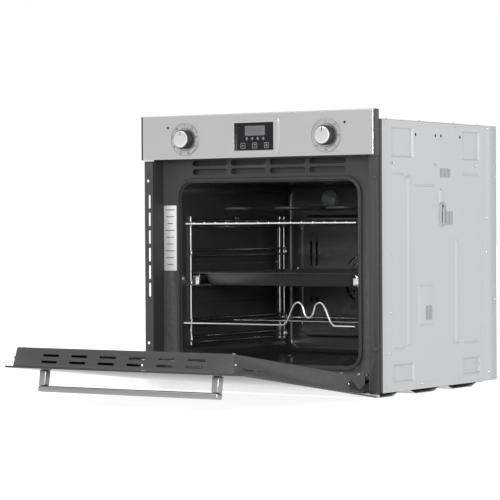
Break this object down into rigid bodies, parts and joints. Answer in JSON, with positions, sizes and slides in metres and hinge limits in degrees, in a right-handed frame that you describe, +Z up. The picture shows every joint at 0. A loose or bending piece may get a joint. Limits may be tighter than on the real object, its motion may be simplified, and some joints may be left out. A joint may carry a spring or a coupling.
{
  "type": "wall oven",
  "caption": "Built-in electric wall oven with a drop-down door open on its hinges, knobs, timer, sliding shelf, tray and wire frame.",
  "frame": {"origin": "on the flat underside of the middle pressed foot of the base, midway between the sides", "axes": "+Z up, -Y out of the front where the door drops open, +X to the right when facing the front"},
  "size_m": [0.595, 1.0419, 0.598],
  "materials": {
    "stainless": "horizontal brushed grain",
    "chrome": "polished",
    "galvanised": "bare zinc-coated steel, soft sheen",
    "black_enamel": "gloss vitreous enamel",
    "dark_paint": "fine textured powder coat",
    "black_plastic": "satin",
    "clear_glass": "tempered, polished",
    "dark_glass": "gloss",
    "display": "unlit liquid crystal",
    "door_seal": "matt",
    "insulation": "glass wool",
    "heater_tube": "dark oxidised sheath",
    "label": "blank plate"
  },
  "bodies": {
    "oven_body": {"control_panel": "stainless", "timer_bezel": "stainless", "dial_ring_left": "stainless", "dial_ring_right": "stainless", "side_rack_left": "chrome", "side_rack_right": "chrome", "thermostat": "galvanised", "fan_motor": "galvanised", "runner_rail_left": "galvanised", "runner_rail_right": "galvanised", "side_panel_left": "galvanised", "side_panel_right": "galvanised", "top_cover": "galvanised", "base_pan": "galvanised", "rear_cover": "galvanised", "blower_housing": "galvanised", "blower_motor": "galvanised", "hinge_arm_left": "galvanised", "hinge_arm_right": "galvanised", "cavity_liner": "black_enamel", "fan_baffle": "black_enamel", "front_frame": "dark_paint", "mounting_flange_left": "dark_paint", "mounting_flange_right": "dark_paint", "panel_end_cap_left": "black_plastic", "panel_end_cap_right": "black_plastic", "timer_module": "black_plastic", "function_switch": "black_plastic", "lamp_holder": "black_plastic", "terminal_box": "black_plastic", "lamp_lens": "clear_glass", "timer_window": "dark_glass", "indicator_left": "dark_glass", "indicator_right": "dark_glass", "timer_display": "display", "door_seal": "door_seal", "insulation": "insulation", "ring_heater": "heater_tube", "grill_heater": "heater_tube", "base_heater": "heater_tube", "rating_plate": "label"},
    "door": {"door_outer_glass": "clear_glass", "door_inner_glass": "clear_glass", "door_shell": "dark_paint", "handle_bar": "stainless", "handle_post_left": "stainless", "handle_post_right": "stainless", "hinge_channel_left": "galvanised", "hinge_channel_right": "galvanised", "hinge_pin_left": "chrome", "hinge_pin_right": "chrome"},
    "function_knob": {"knob_left": "stainless"},
    "thermostat_knob": {"knob_right": "stainless"},
    "fan": {"convection_fan": "galvanised"},
    "blower": {"blower_rotor": "black_plastic"},
    "upper_shelf": {"wire_shelf": "chrome"},
    "tray": {"baking_tray": "black_enamel", "runner_slide_left": "chrome", "runner_slide_right": "chrome"},
    "lower_shelf": {"spit_cradle": "chrome"}
  },
  "joints": [
    {"name": "door_hinge", "type": "hinge", "parent": "oven_body", "child": "door", "pos_m": [0, -0.2295, 0.0115], "axis": [1, 0, 0], "range_deg": [-81.63, 0]},
    {"name": "function_knob_turn", "type": "hinge", "parent": "oven_body", "child": "function_knob", "pos_m": [-0.18, -0.237, 0.546], "axis": [0, 1, 0], "continuous": true},
    {"name": "thermostat_knob_turn", "type": "hinge", "parent": "oven_body", "child": "thermostat_knob", "pos_m": [0.18, -0.237, 0.546], "axis": [0, 1, 0], "range_deg": [0, 270]},
    {"name": "fan_spin", "type": "hinge", "parent": "oven_body", "child": "fan", "pos_m": [0, 0.243, 0.236], "axis": [0, 1, 0], "continuous": true},
    {"name": "blower_spin", "type": "hinge", "parent": "oven_body", "child": "blower", "pos_m": [0, 0.123, 0.522], "axis": [1, 0, 0], "continuous": true},
    {"name": "upper_shelf_slide", "type": "slide", "parent": "oven_body", "child": "upper_shelf", "axis": [0, -1, 0], "range_m": [0, 0.34]},
    {"name": "tray_slide", "type": "slide", "parent": "oven_body", "child": "tray", "axis": [0, -1, 0], "range_m": [0, 0.33]},
    {"name": "lower_shelf_slide", "type": "slide", "parent": "oven_body", "child": "lower_shelf", "axis": [0, -1, 0], "range_m": [0, 0.34]}
  ]
}
